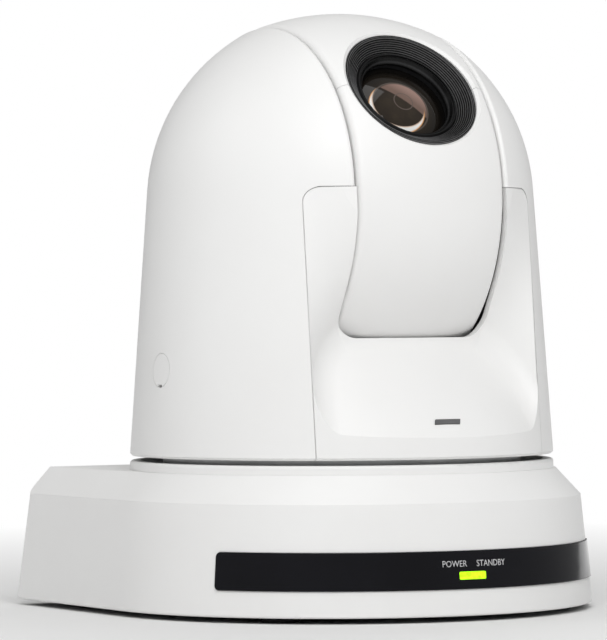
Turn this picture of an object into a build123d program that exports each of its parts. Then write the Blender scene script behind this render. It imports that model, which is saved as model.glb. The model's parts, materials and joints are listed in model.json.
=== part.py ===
from build123d import *
from math import asin, cos, degrees, radians, sin, sqrt, tan
import os

# A compact pan-tilt-zoom camera: a D-shaped base, a domed turret that pans on it, and a barrel-shaped
# tilt head that carries the lens between the turret's two ears. Millimetres, +Z up, front at -Y.
# The origin is at the mouth of the tripod thread, where the pan axis meets the base's underside.
# The lens points 38.4 degrees above the horizon at rest.

os.makedirs("parts", exist_ok=True)

# ---- driving dimensions: base ----
BASE_R = 80.0  # front arc at the underside, so the base is 160 wide
BASE_REAR = 74.6
REAR_DRAFT = 0.084  # run per unit of height of the rear wall
SHOULDER_Z = 34.4
SHOULDER_R = 76.5
DECK_Z = 42.9
DECK_R = 68.6
COLLAR_R = 67.9
COLLAR_TOP = 45.9
COLLAR_LAND = 3.4  # width of the collar's top
RECESS_FLOOR = DECK_Z + 0.4
BASE_WALL = 2.4
PLATE_T = 2.2
FOOT_R = 6.0
FOOT_PROUD = 1.8
FOOT_SPOTS = [(-50, -46), (50, -46), (-58, 60), (58, 60)]
BOSS_R = 3.6
BOSS_SPOTS = [(-38, -58), (38, -58), (-70, 26), (70, 26)]
INSERT_R = 8.0
THREAD_R = 2.6
THREAD_DEPTH = 8.0
CEILING_PITCH = 60
CEILING_HOLE_R = 2.0
WALL_SLOPE = (BASE_R - SHOULDER_R) / SHOULDER_Z

# ---- driving dimensions: front band and rear panel ----
BAND_LOW = 8.2
BAND_HIGH = 19.9
BAND_HALF_DEG = 60.5
BAND_PROUD = 0.5
BAND_DEPTH = 1.3
LAMP_W = 9.4
LAMP_H = 2.3
LAMP_X = -1.0
LAMP_Z = 12.35
PANEL_W = 126.0
PANEL_LOW = 7.0
PANEL_HIGH = 33.0
PANEL_Y = 68.6  # the panel's outer face
PANEL_T = 1.6
BOARD_Z = 10.0
BOARD_T = 1.6
JACK_FIT = 0.2  # gap round a jack in the rear panel
SPACER_SPOTS = [(-56, -20), (56, -20), (-56, 50), (56, 50)]
SCREW_R = 1.25  # one size of screw throughout
SCREW_LENGTH = 6.0
SCREW_HEAD = 1.2
SCREW_HOLE_R = 1.3
SCREW_HEAD_R = SCREW_R * 1.9

# ---- driving dimensions: turret ----
TURRET_BOTTOM = 47.5
TILT_Z = 128.16  # height of the tilt axis and of the dome's centre
DOME_R = 62.0
DRAFT = radians(4.07)  # the skirt's draft, which meets the dome tangentially
SHELL_WALL = 2.4
SLOT_HALF = 27.3  # half the width of the slot between the ears
SLOT_CORNER = 7.5
SLOT_ROUND = 1.0
OPENING_LOW = 84.8
OPENING_REAR_LOW = 112.0
SEAM_HALF = 41.4  # half the width of the front cover
SEAM_TOP = 131.7
SEAM_GAP = 0.14
SEAM_CORNER = 5.0
LINER_T = 1.6
LUG_R = 60.5
LUG_ANGLES = (-115, -65, 0, 90, 180)
PLUG_Z = 75.0
PLUG_R = 5.3
TALLY_Z = 58.9

# ---- driving dimensions: scoop in the front cover ----
SCOOP_LOW = 54.1
SCOOP_SLOPE = 0.782  # run per unit of height of the scoop's floor
SCOOP_VALLEY = 9.0  # fillet where the floor meets a wing
SLOT_EDGE_R = 56.4
SLOT_EDGE_DEG = 28.4  # below this angle the slot's edge runs straight

# ---- driving dimensions: tilt head ----
TILT_DEG = 38.4  # the lens looks this far above the horizon at rest
HEAD_HALF = 26.5
HEAD_R = 60.3
HEAD_CROWN_R = 77.0
HEAD_ROUND = 2.6
HEAD_WALL = 2.2
HEAD_GAP = 0.7
SPLIT_GAP = 0.1
SHELL_SEAT = 1.4  # depth of a shell screw's seat
LENS_HOLE_R = 22.5
LENS_BEVEL = 1.1
HOOD_TOP = 55.4  # distances along the lens axis are from the tilt axis
HOOD_MOUTH = 52.4
HOOD_INNER_R = 17.4
HOOD_RIDGES = 7
BARREL_R = 17.2
BARREL_IN = 15.2
BARREL_SEAT_R = 16.2
RETAINER_IN = 14.6
RETAINER_LOW = 49.9
ROD_R = 1.0
ROD_SPREAD = 12.4
TRUNNION_R = 5.0

# ---- driving dimensions: drives and what carries them ----
BELT_T = 1.0
BELT_W = 3.6
RUNNING = 0.06  # radial clearance of whatever turns or slides on something else
PULLEY_T = 4.6
PAN_PULLEY_R = 24.0
TILT_PULLEY_R = 20.0
MOTOR_PULLEY_R = 5.0
PAN_CENTRES = 43.0
TILT_CENTRES = 40.0
PAN_PULLEY_Z = 46.9
TABLE_Z = 52.6
TABLE_T = 3.0
TABLE_TOP = TABLE_Z + TABLE_T
TABLE_R = 62.8
DUST_LIP_R = 57.4
DUST_LIP_Z = 44.6  # foot of the lip that closes the gap round the collar
DUST_LIP_T = 1.4
SPINDLE_R = 9.0
SPINDLE_BORE = 6.0
SPINDLE_TOP = 62.0
SPINDLE_FOOT_R = 16.0
SPINDLE_FOOT_T = 2.4
SPINDLE_SCREWS_R = 12.5
PAN_BEARING_R = 14.0
PAN_BEARING_T = 6.0
TILT_BEARING_R = 9.0
TILT_BEARING_T = 5.0
MOTOR_R = 12.0
MOTOR_LENGTH = 16.0
SHAFT_R = 1.5
PULLEY_IN = 29.8
YOKE_IN = 35.2
YOKE_T = 2.6
YOKE_OUT = YOKE_IN + YOKE_T
FOOT_SCREWS = (-24, 24)
MOTOR_SCREWS = 9.2

TILT_CENTRE = Vector(0, 0, TILT_Z)
LENS_DIR = Vector(0, -cos(radians(TILT_DEG)), sin(radians(TILT_DEG)))
TILT_AXIS = Axis(TILT_CENTRE, (1, 0, 0))
LENS_AXIS = Axis(TILT_CENTRE, LENS_DIR)
# Across the lens axis: local x is +X, local y is up and back, and extrusion runs forward.
LENS = Plane(origin=TILT_CENTRE, x_dir=(1, 0, 0), z_dir=LENS_DIR)
# Along the lens axis: local x is a radius and local y the distance along the axis.
LENS_SECTION = Plane(origin=TILT_CENTRE, x_dir=(1, 0, 0), z_dir=Vector(1, 0, 0).cross(LENS_DIR))
# Through the tilt axis: local x is +X and local y a radius from the axis.
TILT_SECTION = Plane(origin=TILT_CENTRE, x_dir=(1, 0, 0), z_dir=(0, -1, 0))
# Across the tilt axis: local x is +Y, local y is +Z, and extrusion runs towards +X.
TILT_SIDE = Plane(origin=TILT_CENTRE, x_dir=(0, 1, 0), z_dir=(1, 0, 0))


def write(piece, name):
    """Labels a finished piece and writes it as its own STEP file."""
    piece.part.label = name
    export_step(piece.part, f"parts/{name}.step")


def wall_radius(z):
    """The base's outer radius at height z, below the shoulder."""
    return BASE_R - WALL_SLOPE * z


def skirt_radius(z, inset=0.0):
    """The turret skirt's radius at height z, moved in by inset."""
    return (DOME_R - inset + (TILT_Z - z) * sin(DRAFT)) / cos(DRAFT)


def outline(points, plane=LENS_SECTION):
    """A closed outline of points on a plane, ready to extrude or revolve."""
    with BuildSketch(plane) as sketch:
        with BuildLine():
            Polyline(*points, close=True)
        make_face()
    return sketch.sketch


def tube(plane, outer, inner, start, end):
    """A round tube or, with no inner radius, a rod, from start to end along a plane's normal."""
    with BuildPart() as solid:
        with BuildSketch(plane.offset(start)):
            Circle(outer)
            if inner:
                Circle(inner, mode=Mode.SUBTRACT)
        extrude(amount=end - start)
    return solid.part


def belt(plane, start, big, small, spacing):
    """A belt round a pulley of radius big and another of radius small that lies spacing away."""
    with BuildPart() as loop:
        for grow, mode in ((RUNNING + BELT_T, Mode.ADD), (RUNNING, Mode.SUBTRACT)):
            with BuildSketch(plane.offset(start)) as run:
                Circle(big + grow)
                with Locations(spacing):
                    Circle(small + grow)
                make_hull()
            extrude(amount=BELT_W, mode=mode)
    return loop.part


def pulley(plane, start, radius, bore, flange=1.4):
    """A flanged pulley whose flanges stand beside its belt."""
    rim = (PULLEY_T - BELT_W) / 2 - RUNNING
    with BuildPart() as wheel:
        with BuildSketch(plane.offset(start)):
            Circle(radius)
        extrude(amount=PULLEY_T)
        for z in (start, start + PULLEY_T - rim):
            with BuildSketch(plane.offset(z)):
                Circle(radius + flange)
            extrude(amount=rim)
        with BuildSketch(plane.offset(start)):
            Circle(bore)
        extrude(amount=PULLEY_T, mode=Mode.SUBTRACT)
    return wheel.part


def screw(seat):
    """A pan-head screw whose head sits on a plane and whose shaft runs along that plane's normal."""
    with BuildPart() as fastener:
        with BuildSketch(seat.offset(-SCREW_HEAD)):
            Circle(SCREW_HEAD_R)
        extrude(amount=SCREW_HEAD)
        with BuildSketch(seat):
            Circle(SCREW_R)
        extrude(amount=SCREW_LENGTH)
        with BuildSketch(seat.offset(-SCREW_HEAD)):
            RegularPolygon(SCREW_R * 0.9, 6)
        extrude(amount=SCREW_HEAD * 0.6, mode=Mode.SUBTRACT)
    return fastener.part


# ---- forms that several pieces share ----


def turret_form(inset, bottom):
    """The turret's whole outer form, moved in by inset: a drafted skirt under a dome."""
    radius = DOME_R - inset
    with BuildPart() as solid:
        with BuildSketch(Plane.XZ):
            with BuildLine():
                Polyline(
                    (0, TILT_Z + radius),
                    (0, bottom),
                    (skirt_radius(bottom, inset), bottom),
                    (radius * cos(DRAFT), TILT_Z + radius * sin(DRAFT)),
                )
                CenterArc((0, TILT_Z), radius, degrees(DRAFT), 90 - degrees(DRAFT))
            make_face()
        revolve(axis=Axis.Z)
    return solid.part


def head_form(inset):
    """The tilt head's barrel about the tilt axis, moved in by inset, with rounded rims."""
    half = HEAD_HALF - inset
    crest = HEAD_R - inset
    edge = crest - half**2 / (2 * HEAD_CROWN_R)
    with BuildPart() as solid:
        with BuildSketch(TILT_SECTION) as section:
            with BuildLine():
                ThreePointArc((-half, edge), (0, crest), (half, edge))
                Polyline((half, edge), (half, 0), (-half, 0), (-half, edge))
            make_face()
            fillet(section.vertices().group_by(Axis.Z)[-1], HEAD_ROUND)
        revolve(axis=TILT_AXIS)
    return solid.part


def base_form(inset, bottom):
    """The base's D-shaped form, moved in by inset: turned in front of the pan axis, straight behind it."""
    deck = DECK_Z - inset
    half = [(0, bottom), (wall_radius(bottom) - inset, bottom), (SHOULDER_R - inset, SHOULDER_Z)]
    half += [(DECK_R - inset, deck), (0, deck)]
    rear = Plane(origin=(0, BASE_REAR - inset, 0), x_dir=(1, 0, 0), z_dir=(0, 1, REAR_DRAFT))
    with BuildPart() as solid:
        extrude(outline(half, Plane.XZ), amount=-BASE_R)
        mirror(about=Plane.YZ)
        revolve(outline(half, Plane.XZ), axis=Axis.Z, revolution_arc=-180)
        split(bisect_by=rear, keep=Keep.BOTTOM)
    return solid.part


def seam_prism(gap):
    """The front cover's outline as seen from the front, as a prism along Y, moved in by gap."""
    half = SEAM_HALF - gap
    top = SEAM_TOP - gap
    with BuildPart() as prism:
        with BuildSketch(Plane.XZ):
            with BuildLine():
                FilletPolyline((-half, 0), (-half, top), (half, top), (half, 0), radius=SEAM_CORNER)
                Line((half, 0), (-half, 0))
            make_face()
        extrude(amount=2 * BASE_R)
    return prism.part


def wing_section(x, shift):
    """The space in front of the scoop's wings at one station across X: a slot edge or a seam."""
    low = SCOOP_LOW - 12
    high = SEAM_TOP + 8
    far = -BASE_R - 20
    bend = radians(SLOT_EDGE_DEG)
    bend_y = -SLOT_EDGE_R * cos(bend)
    bend_z = TILT_Z - SLOT_EDGE_R * sin(bend)
    if abs(x) > SLOT_HALF:
        run = [-sqrt(skirt_radius(z) ** 2 - x**2) for z in (low, bend_z, high)]
    else:
        top = -sqrt(SLOT_EDGE_R**2 - (high - TILT_Z) ** 2)
        run = [bend_y + (bend_z - low) * tan(bend), bend_y, top]
    a, b, c = [(y + shift, z) for y, z in zip(run, (low, bend_z, high))]
    with BuildSketch(Plane.YZ.offset(x)) as section:
        with BuildLine():
            Line(a, b)
            if abs(x) > SLOT_HALF:
                Line(b, c)
            else:
                middle = bend - asin((high - TILT_Z) / SLOT_EDGE_R)
                mid_y = -SLOT_EDGE_R * cos(middle / 2) + shift
                ThreePointArc(b, (mid_y, TILT_Z - SLOT_EDGE_R * sin(middle / 2)), c)
            Polyline(c, (far, high), (far, low), a)
        make_face()
    return section.sketch


def scoop(shift):
    """What the scoop takes from the front cover: the space in front of its floor and of both its wings."""
    reach = 58.0
    low = SCOOP_LOW - 4
    high = SEAM_TOP + 4
    radius = skirt_radius(SCOOP_LOW) + 4 * SCOOP_SLOPE
    side = sqrt(radius**2 - reach**2)
    back = radius - SCOOP_SLOPE * (high - low)
    stations = [wing_section(x, shift) for x in (-SEAM_HALF, -SLOT_HALF, SLOT_HALF, SEAM_HALF)]
    with BuildPart() as space:
        with BuildSketch(Plane.XY.offset(low)):
            with BuildLine():
                ThreePointArc((-reach, shift - side), (0, shift - radius), (reach, shift - side))
                Polyline((reach, shift - side), (reach, -100), (-reach, -100), (-reach, shift - side))
            make_face()
        with BuildSketch(Plane.XY.offset(high)):
            with BuildLine():
                Line((-reach, shift - back), (reach, shift - back))
                Polyline((reach, shift - back), (reach, -100), (-reach, -100), (-reach, shift - back))
            make_face()
        loft(ruled=True)
        add(Solid.make_loft([s.wires()[0] for s in stations], ruled=True), mode=Mode.INTERSECT)
        curved = space.edges().filter_by(GeomType.BSPLINE)
        fillet(curved.filter_by_position(Axis.Z, SCOOP_LOW + 10, OPENING_LOW + 4), SCOOP_VALLEY)
    return space.part


def band(proud, depth, half_deg, low, high, corner):
    """A curved plate let into the base's front wall, from depth behind its face to proud of it."""
    points = []
    for z, step in ((low, -depth), (low, proud), (high, proud), (high, -depth)):
        points.append((wall_radius(z) + step, z))
    turn = radians(half_deg)
    start = Plane(origin=(0, 0, 0), x_dir=(-sin(turn), -cos(turn), 0), z_dir=(-cos(turn), sin(turn), 0))
    with BuildPart() as strip:
        revolve(outline(points, start), axis=Axis.Z, revolution_arc=2 * half_deg)
        ends = strip.edges().filter_by(lambda e: e.length < proud + depth + 0.2)
        fillet(ends, corner)
    return strip.part


TURRET_OUT = turret_form(0, TURRET_BOTTOM)
TURRET_IN = turret_form(SHELL_WALL, TURRET_BOTTOM - 5)
HEAD_OUT = head_form(0)
HEAD_IN = head_form(HEAD_WALL)
HEAD_SPACE = head_form(-HEAD_GAP)


# ---- base housing: a shell open below, with a window recess in front and a panel opening behind ----

BAND_SPACE = band(0.2, BAND_DEPTH, BAND_HALF_DEG, BAND_LOW, BAND_HIGH, 1.5)
SPINDLE_SCREWS = PolarLocations(SPINDLE_SCREWS_R, 3, 30)

with BuildPart() as BOSSES:
    with BuildSketch(Plane.XY.offset(PLATE_T + 0.1)):
        with Locations(BOSS_SPOTS):
            Circle(BOSS_R)
    extrude(amount=DECK_Z - PLATE_T)
    add(base_form(1, 0), mode=Mode.INTERSECT)

with BuildPart() as PANEL_SURROUND:
    with BuildSketch(Plane.XZ.offset(-PANEL_Y + 2.4)):
        with Locations((0, (PANEL_LOW + PANEL_HIGH) / 2)):
            RectangleRounded(PANEL_W + 3.6, PANEL_HIGH - PANEL_LOW + 3.6, 3)
    extrude(amount=-8)
    add(base_form(1, 0), mode=Mode.INTERSECT)

with BuildPart() as base_housing:
    add(base_form(0, 0))
    upright = base_housing.edges().filter_by(lambda e: e.center().Y > BASE_REAR - 4 and e.length > 20)
    fillet(upright.filter_by(lambda e: abs(e.tangent_at(0.5).Z) > 0.9), 2.5)
    fillet(base_housing.faces().sort_by(Axis.Z)[0].edges(), 0.7)
    with BuildSketch(Plane.XY.offset(DECK_Z - 0.5)):
        Circle(COLLAR_R)
    extrude(amount=COLLAR_TOP - DECK_Z + 0.5)
    fillet(base_housing.faces().sort_by(Axis.Z)[-1].edges(), 1.0)
    add(base_form(BASE_WALL, -1), mode=Mode.SUBTRACT)
    with BuildSketch(Plane.XY.offset(RECESS_FLOOR)):
        Circle(COLLAR_R - COLLAR_LAND)
    extrude(amount=COLLAR_TOP - DECK_Z, mode=Mode.SUBTRACT)
    with BuildSketch(Plane.XY.offset(DECK_Z - BASE_WALL - 1)):
        Circle(SPINDLE_BORE + 0.5)
        with SPINDLE_SCREWS:
            Circle(SCREW_HOLE_R)
    extrude(amount=10, mode=Mode.SUBTRACT)
    add(BOSSES.part)
    add(PANEL_SURROUND.part)
    with BuildSketch(Plane.XY.offset(PLATE_T)):
        with Locations(BOSS_SPOTS):
            Circle(SCREW_HOLE_R)
    extrude(amount=12, mode=Mode.SUBTRACT)
    add(BAND_SPACE, mode=Mode.SUBTRACT)
    with BuildSketch(Plane.XZ.offset(-PANEL_Y + 6)):
        with Locations((0, (PANEL_LOW + PANEL_HIGH) / 2)):
            RectangleRounded(PANEL_W, PANEL_HIGH - PANEL_LOW, 2)
    extrude(amount=-20, mode=Mode.SUBTRACT)
    with BuildSketch(Plane.XZ.offset(BASE_R - 8)):
        with Locations((LAMP_X, LAMP_Z), (-22, 14), (22, 14)):
            RectangleRounded(LAMP_W + 0.4, LAMP_H + 2, 0.5)
    extrude(amount=12, mode=Mode.SUBTRACT)
    split(bisect_by=Plane.XY.offset(0), keep=Keep.TOP)
write(base_housing, "base_housing")

with BuildPart() as base_plate:
    add(base_form(BASE_WALL + 0.2, 0))
    split(bisect_by=Plane.XY.offset(PLATE_T), keep=Keep.BOTTOM)
    with BuildSketch(Plane.XY.offset(PLATE_T)):
        Circle(16)
        with GridLocations(CEILING_PITCH, CEILING_PITCH, 2, 2):
            Circle(4.5)
    extrude(amount=7)
    with BuildSketch(Plane.XY.offset(PLATE_T)):
        with Locations(SPACER_SPOTS):
            Circle(3)
    extrude(amount=BOARD_Z - PLATE_T)
    with BuildSketch(Plane.XY.offset(PLATE_T)):
        with Locations(SPACER_SPOTS):
            Circle(SCREW_R + 0.05)
    extrude(amount=BOARD_Z, mode=Mode.SUBTRACT)
    with BuildSketch(Plane.XY):
        Circle(INSERT_R + RUNNING)
    extrude(amount=20, mode=Mode.SUBTRACT)
    with BuildSketch(Plane.XY):
        with GridLocations(CEILING_PITCH, CEILING_PITCH, 2, 2):
            Circle(CEILING_HOLE_R)
    extrude(amount=8, mode=Mode.SUBTRACT)
    with BuildSketch(Plane.XY):
        with Locations(BOSS_SPOTS):
            Circle(1.35)
    extrude(amount=PLATE_T, mode=Mode.SUBTRACT)
    with BuildSketch(Plane.XY):
        with Locations(BOSS_SPOTS):
            Circle(2.6)
    extrude(amount=SCREW_HEAD + 0.1, mode=Mode.SUBTRACT)
    with BuildSketch(Plane.XY):
        with Locations(FOOT_SPOTS):
            Circle(FOOT_R + 0.1)
    extrude(amount=0.8, mode=Mode.SUBTRACT)
write(base_plate, "base_plate")

with BuildPart() as tripod_insert:
    with BuildSketch(Plane.XY):
        Circle(INSERT_R)
        Circle(THREAD_R, mode=Mode.SUBTRACT)
    extrude(amount=THREAD_DEPTH)
    with BuildSketch(Plane.XY.offset(THREAD_DEPTH)):
        Circle(INSERT_R)
    extrude(amount=1.2)
write(tripod_insert, "tripod_insert")

with BuildPart() as rubber_feet:
    with BuildSketch(Plane.XY.offset(-FOOT_PROUD)):
        with Locations(FOOT_SPOTS):
            Circle(FOOT_R)
    extrude(amount=FOOT_PROUD + 0.8)
    fillet(rubber_feet.faces().group_by(Axis.Z)[0].edges(), 0.5)
write(rubber_feet, "rubber_feet")

# ---- what shows in the front of the base ----

with BuildPart() as window_band:
    add(band(BAND_PROUD, BAND_DEPTH - 0.05, BAND_HALF_DEG - 0.05, BAND_LOW + 0.05, BAND_HIGH - 0.05, 1.5))
    with BuildSketch(Plane.XZ.offset(60)):
        with Locations((LAMP_X, LAMP_Z)):
            RectangleRounded(LAMP_W + 0.1, LAMP_H + 0.1, 0.4)
    extrude(amount=30, mode=Mode.SUBTRACT)
write(window_band, "window_band")

with BuildPart() as status_lamp:
    add(band(BAND_PROUD + 0.05, BAND_DEPTH + 2, 8, BAND_LOW, BAND_HIGH, 0.5))
    with BuildSketch(Plane.XZ.offset(60)):
        with Locations((LAMP_X, LAMP_Z)):
            RectangleRounded(LAMP_W, LAMP_H, 0.35)
    extrude(amount=30, mode=Mode.INTERSECT)
write(status_lamp, "status_lamp")

with BuildPart() as ir_receivers:
    for x in (-22, 22):
        with BuildSketch(Plane.XZ.offset(62)):
            with Locations((x, 14)):
                Rectangle(7, 4)
        extrude(amount=8.5)
        with BuildSketch(Plane.XZ.offset(70.5)):
            with Locations((x, 14)):
                Circle(1.9)
        extrude(amount=1.5, taper=20)
write(ir_receivers, "ir_receivers")

# ---- rear panel, its jacks and the main board ----

JACK_BASE = BOARD_Z + BOARD_T
JACK_SIZES = {
    "power_inlet": (-50, 12.0, 11.0),
    "audio_jack": (-34, 8.0, 8.0),
    "control_jack": (-18, 14.0, 14.0),
    "hdmi_jack": (2, 16.0, 7.4),
    "usb_jack": (20, 13.4, 12.0),
    "network_jack": (40, 16.0, 14.0),
}
VIDEO_X = 56.0
VIDEO_Z = 20.0
JACK_FRONT = PANEL_Y + 0.4

with BuildPart() as rear_panel:
    with BuildSketch(Plane.XZ.offset(-PANEL_Y)):
        with Locations((0, (PANEL_LOW + PANEL_HIGH) / 2)):
            RectangleRounded(PANEL_W - 0.3, PANEL_HIGH - PANEL_LOW - 0.3, 1.85)
        for x, width, height in JACK_SIZES.values():
            with Locations((x, JACK_BASE + height / 2)):
                Rectangle(width + JACK_FIT, height + JACK_FIT, mode=Mode.SUBTRACT)
        with Locations((VIDEO_X, VIDEO_Z)):
            Circle(4.9, mode=Mode.SUBTRACT)
    extrude(amount=PANEL_T)
write(rear_panel, "rear_panel")


def jack_block(name, depth):
    """A jack's body, standing on the main board and reaching just through the rear panel."""
    x, width, height = JACK_SIZES[name]
    with BuildPart() as block:
        with BuildSketch(Plane.XZ.offset(-JACK_FRONT)):
            with Locations((x, JACK_BASE + height / 2)):
                Rectangle(width, height)
        extrude(amount=depth)
    return block.part


def jack_face(name):
    """The plane of a jack's face, with its origin at the face's centre. Extrusion runs into the jack."""
    x, _, height = JACK_SIZES[name]
    return Plane(origin=(x, JACK_FRONT, JACK_BASE + height / 2), x_dir=(1, 0, 0), z_dir=(0, -1, 0))


with BuildPart() as power_inlet:
    add(jack_block("power_inlet", 14))
    with BuildSketch(jack_face("power_inlet")):
        RectangleRounded(9.4, 7.6, 0.8)
    extrude(amount=10, mode=Mode.SUBTRACT)
    with BuildSketch(jack_face("power_inlet").offset(5)):
        with GridLocations(4.2, 3.4, 2, 2):
            Rectangle(0.8, 0.8)
    extrude(amount=5.5)
write(power_inlet, "power_inlet")

with BuildPart() as audio_jack:
    add(jack_block("audio_jack", 14))
    with BuildSketch(jack_face("audio_jack")):
        Circle(1.8)
    extrude(amount=12, mode=Mode.SUBTRACT)
write(audio_jack, "audio_jack")

with BuildPart() as control_jack:
    add(jack_block("control_jack", 13))
    with BuildSketch(jack_face("control_jack")):
        Circle(4.8)
    extrude(amount=9, mode=Mode.SUBTRACT)
    with BuildSketch(jack_face("control_jack").offset(2)):
        Circle(3.4)
        with Locations((0, -2.6)):
            Rectangle(2.2, 1.4, mode=Mode.SUBTRACT)
        with PolarLocations(2.0, 8):
            Circle(0.35, mode=Mode.SUBTRACT)
    extrude(amount=7.5)
write(control_jack, "control_jack")

with BuildPart() as hdmi_jack:
    add(jack_block("hdmi_jack", 12))
    with BuildSketch(jack_face("hdmi_jack")):
        with BuildLine():
            mouth = [(-7.1, 2.3), (7.1, 2.3), (7.1, -0.9), (5.6, -2.3), (-5.6, -2.3), (-7.1, -0.9)]
            Polyline(*mouth, close=True)
        make_face()
    extrude(amount=10, mode=Mode.SUBTRACT)
    with BuildSketch(jack_face("hdmi_jack").offset(4.5)):
        with Locations((0, 0.3)):
            Rectangle(11, 1.1)
    extrude(amount=6)
write(hdmi_jack, "hdmi_jack")

with BuildPart() as usb_jack:
    add(jack_block("usb_jack", 14))
    with BuildSketch(jack_face("usb_jack")):
        Rectangle(8.6, 7.8)
    extrude(amount=11, mode=Mode.SUBTRACT)
    with BuildSketch(jack_face("usb_jack").offset(4.5)):
        Rectangle(5.6, 3.0)
    extrude(amount=7)
write(usb_jack, "usb_jack")

with BuildPart() as network_jack:
    add(jack_block("network_jack", 16))
    with BuildSketch(jack_face("network_jack")):
        with Locations((0, 0.6)):
            Rectangle(11.8, 8.0)
        with Locations((0, -4.2)):
            Rectangle(6.2, 3.0)
    extrude(amount=13, mode=Mode.SUBTRACT)
    with BuildSketch(jack_face("network_jack").offset(5)):
        with Locations((0, 4.1)):
            with GridLocations(1.02, 1, 8, 1):
                Rectangle(0.45, 1.0)
    extrude(amount=8.2)
write(network_jack, "network_jack")

with BuildPart() as video_jack:
    with BuildSketch(Plane.XZ.offset(-PANEL_Y + PANEL_T)):
        with Locations((VIDEO_X, VIDEO_Z)):
            RegularPolygon(6.4, 6)
    extrude(amount=3)
    with BuildSketch(Plane.XZ.offset(-PANEL_Y + PANEL_T + 3)):
        with Locations((VIDEO_X, VIDEO_Z)):
            Circle(4.8)
    extrude(amount=-13.6)
    with BuildSketch(Plane.XZ.offset(-PANEL_Y - 5.5)):
        with Locations((VIDEO_X, VIDEO_Z)):
            Rectangle(11.6, 2.0)
    extrude(amount=-2.0)
    with BuildSketch(Plane.XZ.offset(-PANEL_Y - 11)):
        with Locations((VIDEO_X, VIDEO_Z)):
            Circle(3.6)
            Circle(0.5, mode=Mode.SUBTRACT)
    extrude(amount=9, mode=Mode.SUBTRACT)
write(video_jack, "video_jack")

with BuildPart() as main_board:
    with BuildSketch(Plane.XY.offset(BOARD_Z)):
        with Locations((0, 20)):
            Rectangle(124, 92)
        with Locations(SPACER_SPOTS):
            Circle(1.6, mode=Mode.SUBTRACT)
    extrude(amount=BOARD_T)
    with BuildSketch(Plane.XY.offset(BOARD_Z + BOARD_T)):
        with Locations((-20, 10), (20, 20)):
            Rectangle(20, 20)
        with Locations((-40, 36), (0, 38)):
            Rectangle(10, 7)
        with Locations((44, -6)):
            Rectangle(14, 14)
    extrude(amount=1.8)
    with BuildSketch(Plane.XY.offset(BOARD_Z + BOARD_T)):
        with Locations(*[(x, -12) for x in (-44, -34, -24)]):
            Circle(4)
    extrude(amount=10)
write(main_board, "main_board")

# ---- pan axis: a spindle fixed to the base, its bearing and the drive that runs round it ----

with BuildPart() as pan_spindle:
    with BuildSketch(Plane.XY.offset(RECESS_FLOOR)):
        Circle(SPINDLE_FOOT_R)
        with SPINDLE_SCREWS:
            Circle(SCREW_HOLE_R, mode=Mode.SUBTRACT)
    extrude(amount=SPINDLE_FOOT_T)
    with BuildSketch(Plane.XY.offset(RECESS_FLOOR)):
        Circle(SPINDLE_R)
    extrude(amount=SPINDLE_TOP - RECESS_FLOOR)
    with BuildSketch(Plane.XY.offset(DECK_Z)):
        Circle(SPINDLE_BORE)
    extrude(amount=SPINDLE_TOP - DECK_Z + 1, mode=Mode.SUBTRACT)
write(pan_spindle, "pan_spindle")

with BuildPart() as base_screws:
    for x, y in BOSS_SPOTS:
        add(screw(Plane(origin=(x, y, SCREW_HEAD + 0.1))))
    for x, y in SPACER_SPOTS:
        add(screw(Plane(origin=(x, y, BOARD_Z + BOARD_T), x_dir=(1, 0, 0), z_dir=(0, 0, -1))))
    for spot in SPINDLE_SCREWS:
        add(screw(Plane(origin=(spot.position.X, spot.position.Y, DECK_Z - BASE_WALL))))
write(base_screws, "base_screws")

with BuildPart() as fixed_pan_pulley:
    add(pulley(Plane.XY, PAN_PULLEY_Z, PAN_PULLEY_R, SPINDLE_R))
    with BuildSketch(Plane.XY.offset(PAN_PULLEY_Z)):
        with PolarLocations(16.5, 6):
            Circle(4)
    extrude(amount=PULLEY_T, mode=Mode.SUBTRACT)
write(fixed_pan_pulley, "fixed_pan_pulley")

with BuildPart() as pan_bearing:
    with BuildSketch(Plane.XY.offset(TABLE_Z + 0.6)):
        Circle(PAN_BEARING_R)
        Circle(SPINDLE_R + RUNNING, mode=Mode.SUBTRACT)
    extrude(amount=PAN_BEARING_T)
write(pan_bearing, "pan_bearing")

with BuildPart() as pan_table:
    with BuildSketch(Plane.XY.offset(TABLE_Z)):
        Circle(TABLE_R)
    extrude(amount=TABLE_T)
    add(tube(Plane.XY, DUST_LIP_R, DUST_LIP_R - DUST_LIP_T, DUST_LIP_Z, TABLE_Z))
    with BuildSketch(Plane.XY.offset(TABLE_Z)):
        Circle(17)
    extrude(amount=7.4)
    with BuildSketch(Plane.XY.offset(TABLE_Z)):
        Circle(12)
    extrude(amount=10, mode=Mode.SUBTRACT)
    with BuildSketch(Plane.XY.offset(TABLE_Z + 0.6)):
        Circle(PAN_BEARING_R)
    extrude(amount=10, mode=Mode.SUBTRACT)
    with BuildSketch(Plane.XY.offset(TABLE_Z)):
        with Locations((0, PAN_CENTRES)):
            Circle(7)
        with Locations((-MOTOR_SCREWS, PAN_CENTRES), (MOTOR_SCREWS, PAN_CENTRES)):
            Circle(SCREW_HOLE_R)
        with Locations(*[(x * (YOKE_OUT + 5.5), y) for x in (-1, 1) for y in FOOT_SCREWS]):
            Circle(SCREW_HOLE_R)
        for angle in LUG_ANGLES:
            with PolarLocations(LUG_R, 1, angle):
                Circle(SCREW_HOLE_R)
    extrude(amount=TABLE_T, mode=Mode.SUBTRACT)
write(pan_table, "pan_table")

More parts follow.
